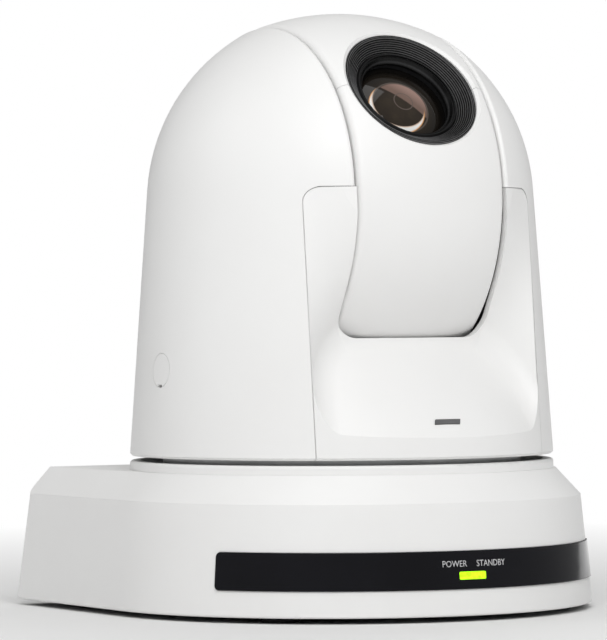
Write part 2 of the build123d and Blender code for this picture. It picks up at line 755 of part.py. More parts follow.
with BuildPart() as pan_motor:
    with BuildSketch(Plane.XY.offset(TABLE_TOP)):
        with Locations((0, PAN_CENTRES)):
            Circle(MOTOR_R)
    extrude(amount=MOTOR_LENGTH)
    chamfer(pan_motor.faces().sort_by(Axis.Z)[-1].edges(), 0.8)
    with BuildSketch(Plane.XY.offset(TABLE_TOP)):
        with Locations((0, PAN_CENTRES)):
            Circle(SHAFT_R + RUNNING)
        with Locations((-MOTOR_SCREWS, PAN_CENTRES), (MOTOR_SCREWS, PAN_CENTRES)):
            Circle(SCREW_HOLE_R)
    extrude(amount=9, mode=Mode.SUBTRACT)
write(pan_motor, "pan_motor")

PAN_MOTOR_PLANE = Plane(origin=(0, PAN_CENTRES, 0))

with BuildPart() as pan_motor_pulley:
    add(pulley(PAN_MOTOR_PLANE, PAN_PULLEY_Z, MOTOR_PULLEY_R, SHAFT_R))
    add(tube(PAN_MOTOR_PLANE, SHAFT_R, 0, PAN_PULLEY_Z, TABLE_TOP + 8.5))
write(pan_motor_pulley, "pan_motor_pulley")

with BuildPart() as pan_belt:
    edge = PAN_PULLEY_Z + (PULLEY_T - BELT_W) / 2
    add(belt(Plane.XY, edge, PAN_PULLEY_R, MOTOR_PULLEY_R, (0, PAN_CENTRES)))
write(pan_belt, "pan_belt")

# ---- turret covers ----

with BuildPart() as slot:
    for low, depth in ((OPENING_LOW, 2 * BASE_R), (OPENING_REAR_LOW, -2 * BASE_R)):
        high = TILT_Z + 80
        with BuildSketch(Plane.XZ):
            with BuildLine():
                sides = [(-SLOT_HALF, high), (-SLOT_HALF, low), (SLOT_HALF, low), (SLOT_HALF, high)]
                FilletPolyline(*sides, radius=SLOT_CORNER)
                Line(sides[-1], sides[0])
            make_face()
        extrude(amount=depth)

TALLY_Y = -(skirt_radius(SCOOP_LOW) + 4 * SCOOP_SLOPE) + SCOOP_SLOPE * (TALLY_Z - SCOOP_LOW + 4)
TALLY_PLANE = Plane(origin=(0, TALLY_Y, TALLY_Z), x_dir=(1, 0, 0), z_dir=(0, -1, SCOOP_SLOPE))


def tally_dash(grow, thickness):
    """The tally lamp's slanted dash, let into the scoop's floor."""
    with BuildPart() as dash:
        with BuildSketch(TALLY_PLANE.offset(-1.2)):
            with BuildLine():
                slant = [(-4.9, -0.9), (4.1, -0.9), (4.9, 0.9), (-4.1, 0.9)]
                Polyline(*slant, close=True)
            make_face()
            if grow:
                offset(amount=grow, kind=Kind.INTERSECTION)
        extrude(amount=thickness)
    return dash.part


def lugs(angles):
    """Lugs inside the turret's skirt, bored for the screws that come up through the pan table."""
    with BuildPart() as blocks:
        for angle in angles:
            with BuildSketch(Plane.XY.offset(TABLE_TOP + 0.1)):
                with PolarLocations(LUG_R + 2, 1, angle):
                    Rectangle(8, 7)
            extrude(amount=6)
            with BuildSketch(Plane.XY.offset(TABLE_TOP + 0.1)):
                with PolarLocations(LUG_R, 1, angle):
                    Circle(SCREW_HOLE_R)
            extrude(amount=7, mode=Mode.SUBTRACT)
        add(turret_form(SHELL_WALL / 2, TABLE_TOP), mode=Mode.INTERSECT)
    return blocks.part


with BuildPart() as front_cover:
    add(TURRET_OUT)
    chamfer(front_cover.faces().sort_by(Axis.Z)[0].edges(), 0.7)
    add(scoop(0), mode=Mode.SUBTRACT)
    add(TURRET_IN - scoop(SHELL_WALL + 0.3), mode=Mode.SUBTRACT)
    add(HEAD_SPACE, mode=Mode.SUBTRACT)
    add(slot.part, mode=Mode.SUBTRACT)
    add(seam_prism(SEAM_GAP), mode=Mode.INTERSECT)
    add(lugs(LUG_ANGLES[:2]) - scoop(SHELL_WALL / 2))
    add(tally_dash(0.1, 6), mode=Mode.SUBTRACT)
write(front_cover, "front_cover")


def on_turret(edge):
    """Whether an edge lies on the turret's outer face, above its bottom rim."""
    spot = edge @ 0.5
    if spot.Z < TURRET_BOTTOM + 5:
        return False
    if spot.Z < TILT_Z:
        return abs(sqrt(spot.X**2 + spot.Y**2) - skirt_radius(spot.Z)) < 0.05
    return abs((spot - TILT_CENTRE).length - DOME_R) < 0.05


with BuildPart() as rear_cover:
    add(TURRET_OUT)
    chamfer(rear_cover.faces().sort_by(Axis.Z)[0].edges(), 0.7)
    add(slot.part, mode=Mode.SUBTRACT)
    lips = rear_cover.edges().filter_by(on_turret).filter_by(lambda e: abs((e @ 0.5).X) < SLOT_HALF + 0.1)
    fillet(lips, SLOT_ROUND)
    add(TURRET_IN, mode=Mode.SUBTRACT)
    add(seam_prism(0), mode=Mode.SUBTRACT)
    with BuildSketch(Plane.YZ.offset(-80)):
        with Locations((0, PLUG_Z)):
            Circle(PLUG_R + 0.1)
    extrude(amount=160, mode=Mode.SUBTRACT)
    add(lugs(LUG_ANGLES[2:]))
write(rear_cover, "rear_cover")

with BuildPart() as side_plugs:
    for side in (-1, 1):
        with BuildSketch(Plane.YZ.offset(side * 61)):
            with Locations((0, PLUG_Z)):
                Circle(PLUG_R)
            with Locations((0, PLUG_Z - PLUG_R)):
                Rectangle(2.4, 1.6, mode=Mode.SUBTRACT)
        extrude(amount=side * 9)
    add(TURRET_OUT, mode=Mode.INTERSECT)
write(side_plugs, "side_plugs")

with BuildPart() as tally_lamp:
    add(tally_dash(0, 1.4))
write(tally_lamp, "tally_lamp")

# ---- what carries the tilt head: two yokes with bearings, and the liners that close the ears ----

YOKE_HALF_Y = 27.0
POST_SPOTS = [(-22, 12), (22, 12), (-22, -20), (22, -20)]  # about the tilt axis


def yoke(side):
    """A yoke that stands on the pan table and holds a tilt bearing in its boss."""
    x = side * YOKE_IN
    top = 16 + TILT_Z
    foot = [(-30, TABLE_TOP), (30, TABLE_TOP), (30, 64), (YOKE_HALF_Y, 100)]
    foot += [(YOKE_HALF_Y, top), (-YOKE_HALF_Y, top), (-YOKE_HALF_Y, 100), (-30, 64)]
    with BuildPart() as plate:
        extrude(outline(foot, Plane.YZ.offset(x)), amount=side * YOKE_T)
        with BuildSketch(Plane.XY.offset(TABLE_TOP)):
            with Locations((side * (YOKE_OUT + 5), 0)):
                Rectangle(12, 60)
        extrude(amount=2.6)
        with BuildSketch(TILT_SIDE.offset(x)):
            Circle(TILT_BEARING_R + 3.5)
        extrude(amount=side * TILT_BEARING_T)
        with BuildSketch(TILT_SIDE.offset(x)):
            Circle(TILT_BEARING_R)
            with Locations(POST_SPOTS):
                Circle(SCREW_HOLE_R)
        extrude(amount=side * 6, mode=Mode.SUBTRACT)
        with BuildSketch(Plane.XY.offset(TABLE_TOP)):
            with Locations(*[(side * (YOKE_OUT + 5.5), y) for y in FOOT_SCREWS]):
                Circle(SCREW_HOLE_R)
        extrude(amount=3, mode=Mode.SUBTRACT)
    return plate.part


with BuildPart() as drive_yoke:
    add(yoke(1))
    with BuildSketch(TILT_SIDE.offset(YOKE_IN)):
        with Locations((0, -TILT_CENTRES)):
            Circle(6.8)
        with Locations((-MOTOR_SCREWS, -TILT_CENTRES), (MOTOR_SCREWS, -TILT_CENTRES)):
            Circle(SCREW_HOLE_R)
    extrude(amount=YOKE_T, mode=Mode.SUBTRACT)
write(drive_yoke, "drive_yoke")

with BuildPart() as idle_yoke:
    add(yoke(-1))
write(idle_yoke, "idle_yoke")

with BuildPart() as tilt_bearings:
    for side in (-1, 1):
        with BuildSketch(TILT_SIDE.offset(side * YOKE_IN)):
            Circle(TILT_BEARING_R)
            Circle(TRUNNION_R + RUNNING, mode=Mode.SUBTRACT)
        extrude(amount=side * TILT_BEARING_T)
write(tilt_bearings, "tilt_bearings")

LINER_X = SLOT_HALF + 0.2
LINER_SPACE = turret_form(SHELL_WALL + 0.2, TABLE_TOP + 2) - scoop(SHELL_WALL + 0.6)


def liner(side):
    """The flat wall inside an ear, beside the tilt head, on posts that stand on its yoke."""
    with BuildPart() as wall:
        with BuildSketch(TILT_SIDE.offset(side * LINER_X)):
            with Locations((0, -20)):
                Rectangle(140, 84)
            Circle(62)
            Circle(8, mode=Mode.SUBTRACT)
        extrude(amount=side * LINER_T)
        add(LINER_SPACE, mode=Mode.INTERSECT)
        with BuildSketch(TILT_SIDE.offset(side * (LINER_X + LINER_T - 0.2))):
            with Locations(POST_SPOTS):
                Circle(2.6)
        extrude(amount=side * (YOKE_IN - LINER_X - LINER_T + 0.2))
        with BuildSketch(TILT_SIDE.offset(side * YOKE_IN)):
            with Locations(POST_SPOTS):
                Circle(SCREW_R + 0.05)
        extrude(amount=-side * 5, mode=Mode.SUBTRACT)
    return wall.part


with BuildPart() as ear_liners:
    add(liner(1))
    add(liner(-1))
write(ear_liners, "ear_liners")

# ---- tilt drive ----

TILT_MOTOR = TILT_SIDE.shift_origin((0, 0, TILT_Z - TILT_CENTRES))

with BuildPart() as tilt_motor:
    with BuildSketch(TILT_MOTOR.offset(YOKE_OUT)):
        Circle(MOTOR_R)
    extrude(amount=MOTOR_LENGTH)
    chamfer(tilt_motor.faces().sort_by(Axis.X)[-1].edges(), 0.8)
    with BuildSketch(TILT_MOTOR.offset(YOKE_OUT)):
        Circle(SHAFT_R + RUNNING)
        with Locations((-MOTOR_SCREWS, 0), (MOTOR_SCREWS, 0)):
            Circle(SCREW_HOLE_R)
    extrude(amount=9, mode=Mode.SUBTRACT)
write(tilt_motor, "tilt_motor")

with BuildPart() as tilt_motor_pulley:
    add(pulley(TILT_MOTOR, PULLEY_IN, MOTOR_PULLEY_R, SHAFT_R))
    add(tube(TILT_MOTOR, SHAFT_R, 0, PULLEY_IN, YOKE_OUT + 8.5))
write(tilt_motor_pulley, "tilt_motor_pulley")

with BuildPart() as tilt_belt:
    edge = PULLEY_IN + (PULLEY_T - BELT_W) / 2
    add(belt(TILT_SIDE, edge, TILT_PULLEY_R, MOTOR_PULLEY_R, (0, -TILT_CENTRES)))
write(tilt_belt, "tilt_belt")

with BuildPart() as tilt_pulley:
    add(pulley(TILT_SIDE, PULLEY_IN, TILT_PULLEY_R, TRUNNION_R))
    with BuildSketch(TILT_SIDE.offset(PULLEY_IN)):
        with PolarLocations(12.5, 6):
            Circle(3.6)
    extrude(amount=PULLEY_T, mode=Mode.SUBTRACT)
write(tilt_pulley, "tilt_pulley")

with BuildPart() as turret_screws:
    for spot in [s for angle in LUG_ANGLES for s in PolarLocations(LUG_R, 1, angle)]:
        add(screw(Plane(origin=(spot.position.X, spot.position.Y, TABLE_Z))))
    for x in (-MOTOR_SCREWS, MOTOR_SCREWS):
        add(screw(Plane(origin=(x, PAN_CENTRES, TABLE_Z))))
        add(screw(Plane(origin=(YOKE_IN, x, TILT_Z - TILT_CENTRES), x_dir=(0, 1, 0), z_dir=(1, 0, 0))))
    for side in (-1, 1):
        for y in FOOT_SCREWS:
            at = (side * (YOKE_OUT + 5.5), y, TABLE_TOP + 2.6)
            add(screw(Plane(origin=at, x_dir=(1, 0, 0), z_dir=(0, 0, -1))))
        for y, z in POST_SPOTS:
            at = (side * YOKE_OUT, y, TILT_Z + z)
            add(screw(Plane(origin=at, x_dir=(0, 1, 0), z_dir=(-side, 0, 0))))
write(turret_screws, "turret_screws")

with BuildPart() as driver_board:
    with BuildSketch(Plane.YZ.offset(-YOKE_OUT - 4)):
        with Locations((0, 86)):
            Rectangle(44, 40)
    extrude(amount=-1.6)
    with BuildSketch(Plane.YZ.offset(-YOKE_OUT - 5.6)):
        with Locations((-8, 92)):
            Rectangle(14, 14)
        with Locations((12, 80), (12, 94)):
            Rectangle(7, 9)
    extrude(amount=-1.8)
    with BuildSketch(Plane.YZ.offset(-YOKE_OUT)):
        with Locations((-18, 70), (18, 70), (-18, 102), (18, 102)):
            Circle(2)
    extrude(amount=-4)
write(driver_board, "driver_board")

# ---- tilt head: two shells, and the frame that hangs on the trunnions ----

SIDE_SPOTS = [(20, -8), (20, 8), (-12, -8), (-12, 8)]  # along the lens axis, and across it
# Across the tilt axis, turned with the lens: local x runs along the lens axis and local y up and back.
HEAD_SIDE = Plane(origin=TILT_CENTRE, x_dir=LENS_DIR, z_dir=LENS_DIR.cross(LENS.y_dir))


def head_shell(half):
    """One half of the head's shell, above (1) or below (-1) the plane through the tilt and lens axes."""
    cut = Plane(origin=TILT_CENTRE + LENS.y_dir * half * SPLIT_GAP / 2, x_dir=(1, 0, 0), z_dir=LENS.y_dir)
    with BuildPart() as shell:
        add(HEAD_OUT)
        add(HEAD_IN, mode=Mode.SUBTRACT)
        with BuildSketch(LENS.offset(30)):
            Circle(LENS_HOLE_R)
        extrude(amount=40, mode=Mode.SUBTRACT)
        rim = shell.edges().filter_by(lambda e: e.length > 100).sort_by(LENS_AXIS)[-1]
        chamfer(rim, LENS_BEVEL)
        with BuildSketch(TILT_SIDE.offset(-HEAD_HALF)):
            Circle(TRUNNION_R + 0.3)
        extrude(amount=2 * HEAD_HALF, mode=Mode.SUBTRACT)
        with BuildSketch(HEAD_SIDE.offset(-HEAD_HALF)):
            with Locations(SIDE_SPOTS):
                Circle(SCREW_HOLE_R)
        extrude(amount=2 * HEAD_HALF, mode=Mode.SUBTRACT)
        for x in (-HEAD_HALF, HEAD_HALF - SHELL_SEAT):
            with BuildSketch(HEAD_SIDE.offset(x)):
                with Locations(SIDE_SPOTS):
                    Circle(2.5)
            extrude(amount=SHELL_SEAT, mode=Mode.SUBTRACT)
        split(bisect_by=cut, keep=Keep.TOP if half > 0 else Keep.BOTTOM)
    return shell.part


with BuildPart() as upper_shell:
    add(head_shell(1))
write(upper_shell, "upper_shell")

with BuildPart() as lower_shell:
    add(head_shell(-1))
write(lower_shell, "lower_shell")

with BuildPart() as shell_screws:
    for side in (-1, 1):
        for along, across in SIDE_SPOTS:
            at = TILT_CENTRE + LENS_DIR * along + LENS.y_dir * across
            at += Vector(side * (HEAD_HALF - SHELL_SEAT), 0, 0)
            add(screw(Plane(origin=at, x_dir=LENS_DIR, z_dir=(-side, 0, 0))))
write(shell_screws, "shell_screws")

ARM_IN = 19.5
ARM_OUT = 21.7

with BuildPart() as head_frame:
    for x in (-ARM_OUT, ARM_IN):
        with BuildSketch(HEAD_SIDE.offset(x)):
            with Locations((5.5, 0)):
                Rectangle(49, 26)
        extrude(amount=ARM_OUT - ARM_IN)
    with BuildSketch(LENS.offset(27)):
        Rectangle(2 * ARM_OUT, 37)
        Circle(BARREL_R + 0.1, mode=Mode.SUBTRACT)
    extrude(amount=3)
    with BuildSketch(LENS.offset(-19)):
        Rectangle(2 * ARM_OUT, 32)
    extrude(amount=2.2)
    for x in (-HEAD_HALF + HEAD_WALL, ARM_OUT - 0.1):
        with BuildSketch(HEAD_SIDE.offset(x)):
            with Locations(SIDE_SPOTS):
                Circle(2.6)
        extrude(amount=HEAD_HALF - HEAD_WALL - ARM_OUT + 0.1)
    with BuildSketch(HEAD_SIDE.offset(-HEAD_HALF)):
        with Locations(SIDE_SPOTS):
            Circle(1.25)
        Circle(3.5)
    extrude(amount=2 * HEAD_HALF, mode=Mode.SUBTRACT)
write(head_frame, "head_frame")


def trunnion(side, end):
    """A trunnion with its flange on a frame arm, hollow for the cables."""
    with BuildPart() as pin:
        with BuildSketch(TILT_SIDE.offset(side * ARM_OUT)):
            Circle(8.6)
        extrude(amount=side * 2.2)
        with BuildSketch(TILT_SIDE.offset(side * ARM_OUT)):
            Circle(TRUNNION_R)
        extrude(amount=side * (end - ARM_OUT))
        with BuildSketch(TILT_SIDE.offset(side * ARM_OUT)):
            Circle(3.4)
        extrude(amount=side * (end - ARM_OUT), mode=Mode.SUBTRACT)
    return pin.part


with BuildPart() as trunnions:
    for side in (-1, 1):
        add(trunnion(side, YOKE_IN + 6))
write(trunnions, "trunnions")

# ---- lens ----

with BuildPart() as lens_hood:
    step = (LENS_HOLE_R - 1.3 - HOOD_INNER_R) / HOOD_RIDGES
    drop = (HOOD_TOP - HOOD_MOUTH) / HOOD_RIDGES
    profile = [(LENS_HOLE_R - 0.2, 44.0), (LENS_HOLE_R - 0.2, HOOD_TOP), (LENS_HOLE_R - 1.3, HOOD_TOP)]
    for ridge in range(HOOD_RIDGES):
        r = LENS_HOLE_R - 1.3 - step * ridge
        top = HOOD_TOP - drop * ridge
        profile += [(r - 0.3 * step, top - 0.6), (r - 0.7 * step, top - 0.6), (r - step, top - drop)]
    profile += [(HOOD_INNER_R, 44.0)]
    revolve(outline(profile), axis=LENS_AXIS)
write(lens_hood, "lens_hood")

with BuildPart() as lens_barrel:
    profile = [(BARREL_R, -4), (BARREL_R, 30.1), (19.0, 30.1), (19.0, 33), (BARREL_R, 33), (BARREL_R, 52.2)]
    profile += [(16.6, 52.8), (BARREL_SEAT_R, 52.8), (BARREL_SEAT_R, 49.8), (BARREL_IN, 49.8)]
    profile += [(BARREL_IN, 43.6), (11.2, 43.6)]
    profile += [(11.2, 42), (BARREL_IN, 42), (BARREL_IN, -2), (8, -2), (8, -4)]
    revolve(outline(profile), axis=LENS_AXIS)
    with BuildSketch(LENS.offset(-4)):
        with Locations((-ROD_SPREAD, 0), (ROD_SPREAD, 0)):
            Circle(ROD_R)
    extrude(amount=48, mode=Mode.SUBTRACT)
write(lens_barrel, "lens_barrel")

with BuildPart() as retaining_ring:
    rim = BARREL_SEAT_R - 0.05
    profile = [(rim, RETAINER_LOW), (rim, RETAINER_LOW + 2.4), (rim - 0.45, RETAINER_LOW + 2.4)]
    profile += [(RETAINER_IN, RETAINER_LOW + 0.7), (RETAINER_IN, RETAINER_LOW)]
    revolve(outline(profile), axis=LENS_AXIS)
write(retaining_ring, "retaining_ring")


def lens_element(radius, back, edge, crown):
    """A lens element: flat at the back, its rim from back to edge and its front domed by crown."""
    bend = (radius**2 + crown**2) / (2 * crown)
    with BuildPart() as ball:
        with Locations(TILT_CENTRE + LENS_DIR * (edge + crown - bend)):
            Sphere(bend)
    with BuildPart() as glass:
        add(tube(LENS, radius, 0, back, edge + crown + 1))
        add(ball.part, mode=Mode.INTERSECT)
    return glass.part


with BuildPart() as front_element:
    add(lens_element(BARREL_IN - 0.05, 44.0, 48.0, 3.4))
write(front_element, "front_element")

with BuildPart() as guide_rods:
    for x in (-ROD_SPREAD, ROD_SPREAD):
        rod_plane = Plane(origin=TILT_CENTRE + Vector(x, 0, 0), x_dir=(1, 0, 0), z_dir=LENS_DIR)
        add(tube(rod_plane, ROD_R, 0, -4, 43.6))
write(guide_rods, "guide_rods")


def lens_cell(back, front, glass_r):
    """A cell that slides on the two guide rods and holds a glass of radius glass_r."""
    with BuildPart() as cell:
        add(tube(LENS, BARREL_IN - 0.6, 0, back, front))
        with BuildSketch(LENS.offset(back)):
            with Locations((-ROD_SPREAD, 0), (ROD_SPREAD, 0)):
                Circle(ROD_R + RUNNING)
            Circle(glass_r - 0.8)
        extrude(amount=front - back, mode=Mode.SUBTRACT)
        with BuildSketch(LENS.offset(back + 0.8)):
            Circle(glass_r)
        extrude(amount=front - back, mode=Mode.SUBTRACT)
    return cell.part


ZOOM_L = 24.0
FOCUS_L = 2.0

with BuildPart() as zoom_cell:
    add(lens_cell(ZOOM_L, ZOOM_L + 5, 9.0))
write(zoom_cell, "zoom_cell")

with BuildPart() as zoom_element:
    add(lens_element(8.95, ZOOM_L + 0.8, ZOOM_L + 3.4, 1.2))
write(zoom_element, "zoom_element")

with BuildPart() as focus_cell:
    add(lens_cell(FOCUS_L, FOCUS_L + 4.5, 8.0))
write(focus_cell, "focus_cell")

with BuildPart() as focus_element:
    add(lens_element(7.95, FOCUS_L + 0.8, FOCUS_L + 3.2, 1.0))
write(focus_element, "focus_element")

with BuildPart() as iris_unit:
    add(tube(LENS, BARREL_IN - 0.1, 10, 12.8, 17.0))
    with BuildSketch(LENS.offset(14.4)):
        Circle(10)
        RegularPolygon(5.2, 7, mode=Mode.SUBTRACT)
    extrude(amount=0.6)
    with BuildSketch(LENS.offset(12.8)):
        with Locations((-ROD_SPREAD, 0), (ROD_SPREAD, 0)):
            Circle(ROD_R + 0.05)
    extrude(amount=4.2, mode=Mode.SUBTRACT)
write(iris_unit, "iris_unit")


def lens_motor(x, start, end):
    """A small motor on top of the lens barrel, with its screw along the barrel."""
    spot = TILT_CENTRE + Vector(x, 0, 0) + LENS.y_dir * 21.2
    along = Plane(origin=spot, x_dir=(1, 0, 0), z_dir=LENS_DIR)
    with BuildPart() as motor:
        add(tube(along, 3.6, 0, start, start + 9))
        add(tube(along, 1.0, 0, start + 9, end))
        with BuildSketch(along.offset(end - 1.2)):
            Circle(2.6)
        extrude(amount=1.2)
    return motor.part


with BuildPart() as lens_motors:
    for x in (-7.5, 7.5):
        add(lens_motor(x, -2, 25))
write(lens_motors, "lens_motors")

# ---- filter, sensor and its cooling, behind the lens ----

FILTER_BACK = -13.0
SLIDE_LOW = FILTER_BACK + 3
SLIDE_T = 3.0
SLIDE_W = 15.0
FILTER_R = 5.4
SLIDE_GAP = 0.1

with BuildPart() as filter_housing:
    with BuildSketch(LENS.offset(FILTER_BACK)):
        Rectangle(37.8, 26)
        Circle(6.2, mode=Mode.SUBTRACT)
    extrude(amount=8.9)
    with BuildSketch(LENS.offset(SLIDE_LOW)):
        Rectangle(50, SLIDE_W)
    extrude(amount=SLIDE_T, mode=Mode.SUBTRACT)
write(filter_housing, "filter_housing")

with BuildPart() as filter_slide:
    with BuildSketch(LENS.offset(SLIDE_LOW + SLIDE_GAP)):
        with Locations((-6, 0)):
            Rectangle(25, SLIDE_W - 2 * SLIDE_GAP)
        with Locations((0, 0), (-12, 0)):
            Circle(FILTER_R, mode=Mode.SUBTRACT)
    extrude(amount=SLIDE_T - 2 * SLIDE_GAP)
write(filter_slide, "filter_slide")

with BuildPart() as ir_cut_filter:
    add(tube(LENS, FILTER_R, 0, SLIDE_LOW + 0.6, SLIDE_LOW + 2))
write(ir_cut_filter, "ir_cut_filter")

with BuildPart() as sensor_board:
    with BuildSketch(LENS.offset(-16.6)):
        Rectangle(36, 30)
    extrude(amount=1.6)
write(sensor_board, "sensor_board")

with BuildPart() as image_sensor:
    with BuildSketch(LENS.offset(-15)):
        Rectangle(12, 10)
    extrude(amount=1.4)
write(image_sensor, "image_sensor")

with BuildPart() as heat_sink:
    with BuildSketch(LENS.offset(-22)):
        Rectangle(40, 34)
    extrude(amount=3)
    with BuildSketch(LENS.offset(-32)):
        with GridLocations(4.8, 1, 9, 1):
            Rectangle(1.4, 34)
    extrude(amount=10)
write(heat_sink, "heat_sink")
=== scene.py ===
import bmesh
import bpy
import json
import math
from mathutils import Matrix, Vector

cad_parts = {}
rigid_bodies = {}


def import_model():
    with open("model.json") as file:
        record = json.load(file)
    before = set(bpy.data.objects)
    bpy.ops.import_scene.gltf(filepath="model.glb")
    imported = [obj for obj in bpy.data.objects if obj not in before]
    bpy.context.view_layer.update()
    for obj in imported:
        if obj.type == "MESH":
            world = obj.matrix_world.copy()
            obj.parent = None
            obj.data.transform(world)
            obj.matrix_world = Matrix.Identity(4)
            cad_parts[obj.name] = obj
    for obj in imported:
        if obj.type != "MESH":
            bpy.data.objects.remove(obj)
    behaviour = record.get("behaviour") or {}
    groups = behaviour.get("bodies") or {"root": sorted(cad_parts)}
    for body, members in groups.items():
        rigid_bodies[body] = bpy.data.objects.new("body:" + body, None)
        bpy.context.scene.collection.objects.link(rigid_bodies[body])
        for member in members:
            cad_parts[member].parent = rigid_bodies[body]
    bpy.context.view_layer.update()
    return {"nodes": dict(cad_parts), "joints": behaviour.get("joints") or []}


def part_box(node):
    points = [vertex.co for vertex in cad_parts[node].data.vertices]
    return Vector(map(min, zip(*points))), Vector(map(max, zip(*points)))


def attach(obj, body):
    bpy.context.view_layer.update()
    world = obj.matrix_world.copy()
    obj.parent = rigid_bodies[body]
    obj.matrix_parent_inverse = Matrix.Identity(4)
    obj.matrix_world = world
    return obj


# Looks of the pan-tilt-zoom camera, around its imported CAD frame. Metres, +Z up, front at -Y.

# A new session holds objects of its own, which would be counted in the bounds.
for leftover in list(bpy.data.objects):
    bpy.data.objects.remove(leftover)

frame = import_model()

SCENE = bpy.context.scene
NODES = frame["nodes"]
JOINTS = {joint["name"]: joint for joint in frame["joints"]}
MM = 0.001
WHITE = (1, 1, 1, 1)


def mesh_piece(name, mesh_data, material):
    mesh_data.materials.append(material)
    piece = bpy.data.objects.new(name, mesh_data)
    SCENE.collection.objects.link(piece)
    return piece


# ---------------------------------------------------------------- node helpers
class Shade:
    """A Principled material, with short calls for the nodes that feed it."""

    def __init__(self, name):
        self.material = bpy.data.materials.new(name)
        self.material.use_nodes = True
        self.tree = self.material.node_tree
        self.bsdf = self.tree.nodes["Principled BSDF"]
        self.output = self.tree.nodes["Material Output"]
        self.place = self.new("ShaderNodeTexCoord").outputs["Object"]

    def new(self, kind, **settings):
        node = self.tree.nodes.new(kind)
        for key, value in settings.items():
            setattr(node, key, value)
        return node

    def feed(self, socket, value):
        if isinstance(value, bpy.types.NodeSocket):
            self.tree.links.new(value, socket)
        else:
            socket.default_value = value

    def set(self, **values):
        for key, value in values.items():
            self.feed(self.bsdf.inputs[key.replace("_", " ")], value)

    def show_mix(self, share, first, second):
        """Makes the material a mix of two shaders."""
        mix = self.new("ShaderNodeMixShader")
        for socket, value in zip(mix.inputs, (share, first, second)):
            self.feed(socket, value)
        self.feed(self.output.inputs["Surface"], mix.outputs["Shader"])

    def stretched(self, scale):
        node = self.new("ShaderNodeMapping")
        self.feed(node.inputs["Vector"], self.place)
        node.inputs["Scale"].default_value = scale
        return node.outputs["Vector"]

    def noise(self, scale, detail=3.0, rough=0.5, vector=None):
        node = self.new("ShaderNodeTexNoise")
        self.feed(node.inputs["Vector"], vector or self.place)
        node.inputs["Scale"].default_value = scale
        node.inputs["Detail"].default_value = detail
        node.inputs["Roughness"].default_value = rough
        return node.outputs["Fac"]

    def cells(self, scale):
        node = self.new("ShaderNodeTexVoronoi")
        self.feed(node.inputs["Vector"], self.place)
        node.inputs["Scale"].default_value = scale
        return node.outputs["Distance"]

    def wave(self, scale, direction, warp=0.0):
        node = self.new("ShaderNodeTexWave", bands_direction=direction)
        self.feed(node.inputs["Vector"], self.place)
        node.inputs["Scale"].default_value = scale
        node.inputs["Distortion"].default_value = warp
        return node.outputs["Fac"]

    def number(self, operation, first, second=None):
        node = self.new("ShaderNodeMath", operation=operation)
        self.feed(node.inputs[0], first)
        if second is not None:
            self.feed(node.inputs[1], second)
        return node.outputs["Value"]

    def vector(self, operation, first, second=None, result="Vector"):
        node = self.new("ShaderNodeVectorMath", operation=operation)
        self.feed(node.inputs[0], first)
        if second is not None:
            self.feed(node.inputs[1], second)
        return node.outputs[result]

    def span(self, value, low, high, start=0.3, end=0.7):
        """Maps a value from start..end to low..high."""
        node = self.new("ShaderNodeMapRange")
        self.feed(node.inputs["Value"], value)
        node.inputs["From Min"].default_value = start
        node.inputs["From Max"].default_value = end
        node.inputs["To Min"].default_value = low
        node.inputs["To Max"].default_value = high
        return node.outputs["Result"]

    def colours(self, value, first, last, start=0.3, end=0.7):
        """Turns a value into a colour: first up to start, and last from end on."""
        node = self.new("ShaderNodeValToRGB")
        self.feed(node.inputs["Fac"], value)
        node.color_ramp.elements[1].position = end
        node.color_ramp.elements[0].position = start
        node.color_ramp.elements[0].color = (*first, 1)
        node.color_ramp.elements[1].color = (*last, 1)
        return node.outputs["Color"]

    def over(self, under, colour, *masks):
        """Lays a colour over another, where every mask lets it through."""
        share = masks[0]
        for mask in masks[1:]:
            share = self.number("MULTIPLY", share, mask)
        node = self.new("ShaderNodeMix", data_type="RGBA")
        self.feed(node.inputs[0], share)
        self.feed(node.inputs[6], under)
        self.feed(node.inputs[7], colour)
        return node.outputs[2]

    def bump(self, height, distance, strength=0.5, normal=None):
        node = self.new("ShaderNodeBump")
        self.feed(node.inputs["Height"], height)
        node.inputs["Distance"].default_value = distance
        node.inputs["Strength"].default_value = strength
        if normal is not None:
            self.feed(node.inputs["Normal"], normal)
        return node.outputs["Normal"]

    def soft_edge(self, radius):
        node = self.new("ShaderNodeBevel", samples=4)
        node.inputs["Radius"].default_value = radius
        return node.outputs["Normal"]


# ---------------------------------------------------------------- materials by slot
WHITE_TONE = 0.86


def white_plastic(name):
    """Moulded white plastic with a fine satin texture."""
    s = Shade(name)
    shaded = [WHITE_TONE * share for share in (0.972, 0.968, 0.958)]
    clean = [WHITE_TONE * share for share in (1, 1, 0.992)]
    s.set(Base_Color=s.colours(s.noise(14, 4, 0.55), shaded, clean))
    s.set(Roughness=s.span(s.noise(60, 5, 0.6), 0.36, 0.46))
    s.set(IOR=1.46)
    s.set(Normal=s.bump(s.noise(2600, 2, 0.5), 0.012 * MM, 0.6, s.soft_edge(0.35 * MM)))
    return s.material


def black_plastic(name):
    s = Shade(name)
    s.set(Base_Color=s.colours(s.noise(90, 4), (0.008, 0.008, 0.0085), (0.013, 0.013, 0.0135)))
    s.set(Roughness=s.span(s.noise(300, 4), 0.3, 0.42))
    s.set(Normal=s.bump(s.noise(4200, 2), 0.008 * MM, 0.6, s.soft_edge(0.12 * MM)))
    return s.material


